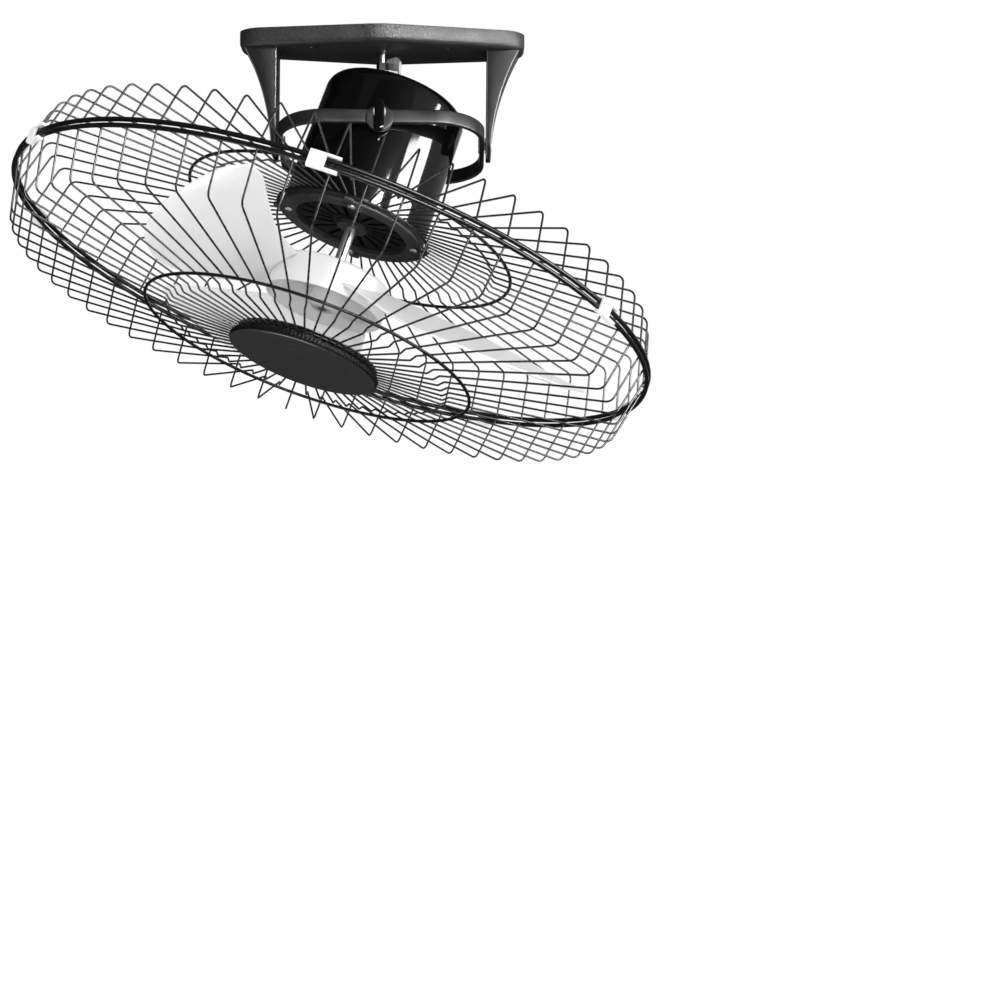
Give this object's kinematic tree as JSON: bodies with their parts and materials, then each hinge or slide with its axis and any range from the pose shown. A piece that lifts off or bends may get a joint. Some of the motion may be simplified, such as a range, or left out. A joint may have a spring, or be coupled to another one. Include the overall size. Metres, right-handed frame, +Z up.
{
  "type": "orbiting ceiling fan",
  "caption": "Caged ceiling fan whose motor hangs in a gimbal under a six-sided plate and is led slowly round a cone by a geared crank, with broad white blades and a black wire guard.",
  "frame": {"origin": "centre of the plate's ceiling screws, on the face that meets the ceiling", "axes": "+Z up into the ceiling, X along the plate from arm to arm, -Y towards the viewer of the picture"},
  "size_m": [0.5766, 0.5935, 0.386],
  "materials": {
    "plate_black": "fine-textured black plastic",
    "arm_grey": "satin dark grey plastic",
    "ring_black": "satin black painted steel",
    "motor_black": "glossy black plastic",
    "shield_black": "matt black die-cast aluminium",
    "bright_steel": "bright machined steel",
    "zinc_sheet": "grey zinc-plated steel sheet",
    "black_nut": "blackened steel",
    "core_steel": "laminated core steel",
    "winding_copper": "enamelled copper wire",
    "bell_aluminium": "die-cast aluminium",
    "gear_white": "natural white acetal",
    "bush_white": "natural nylon",
    "bush_bronze": "sintered bronze",
    "fan_white": "white satin plastic",
    "guard_black": "black powder-coated steel wire",
    "clip_white": "white plastic",
    "cap_black": "black plastic, glossy face",
    "tray_white": "off-white plastic"
  },
  "bodies": {
    "base": {"base_plate": "plate_black", "right_arm": "arm_grey", "left_arm": "arm_grey", "arm_screws": "bright_steel", "arm_bushes": "bush_white", "plate_bush": "bush_white", "terminal_block": "tray_white", "run_capacitor": "tray_white"},
    "ring": {"gimbal_ring": "ring_black", "ring_pivot_pins": "bright_steel", "ring_bushes": "bush_white", "pivot_caps": "arm_grey"},
    "motor_unit": {"motor_housing": "motor_black", "motor_shield": "shield_black", "shield_screws": "bright_steel", "stator_core": "core_steel", "stator_windings": "winding_copper", "front_bearing": "bush_bronze", "rear_bearing": "bush_bronze", "motor_bell": "bell_aluminium", "gear_pins": "bright_steel", "gearbox_cover": "gear_white", "output_bush": "bush_bronze", "motor_pivot_pins": "bright_steel", "rear_guard_wires": "guard_black", "rear_guard_rim": "guard_black", "rear_guard_mid_ring": "guard_black", "rear_guard_hub_ring": "guard_black", "front_guard_wires": "guard_black", "front_guard_rim": "guard_black", "front_guard_mid_ring": "guard_black", "front_guard_hub_ring": "guard_black", "guard_clips": "clip_white", "front_cap": "cap_black"},
    "fan_rotor": {"motor_shaft": "bright_steel", "rotor_core": "core_steel", "drive_pinion": "gear_white", "fan_blades": "fan_white", "hub_nut": "fan_white"},
    "first_gear": {"first_idler_gear": "gear_white"},
    "second_gear": {"second_idler_gear": "gear_white"},
    "crank": {"output_gear": "gear_white", "output_shaft": "bright_steel", "crank_arm": "zinc_sheet", "crank_pin": "bright_steel", "crank_nut": "black_nut"}
  },
  "joints": [
    {"name": "ring_tilt", "type": "hinge", "parent": "base", "child": "ring", "pos_m": [0, 0, -0.1], "axis": [1, 0, 0], "range_deg": [-8.76, 35.74]},
    {"name": "motor_tilt", "type": "hinge", "parent": "ring", "child": "motor_unit", "pos_m": [0, 0, -0.1], "axis": [0, 0.9724, -0.2333], "range_deg": [-40.11, 4.38]},
    {"name": "fan_spin", "type": "hinge", "parent": "motor_unit", "child": "fan_rotor", "pos_m": [0, 0, -0.1], "axis": [0.3067, 0.222, 0.9255], "continuous": true},
    {"name": "first_gear_turn", "type": "hinge", "parent": "motor_unit", "child": "first_gear", "pos_m": [0.02398, -0.0018, -0.10752], "axis": [0.3067, 0.222, 0.9255], "continuous": true},
    {"name": "second_gear_turn", "type": "hinge", "parent": "motor_unit", "child": "second_gear", "pos_m": [0.01199, 0.02032, -0.10885], "axis": [0.3067, 0.222, 0.9255], "continuous": true},
    {"name": "crank_turn", "type": "hinge", "parent": "motor_unit", "child": "crank", "pos_m": [0, 0, -0.1], "axis": [0.3067, 0.222, 0.9255], "continuous": true}
  ],
  "couplings": [
    {"joint": "first_gear_turn", "follows": "fan_spin", "ratio": -0.2},
    {"joint": "second_gear_turn", "follows": "fan_spin", "ratio": 0.04},
    {"joint": "crank_turn", "follows": "fan_spin", "ratio": -0.008}
  ]
}
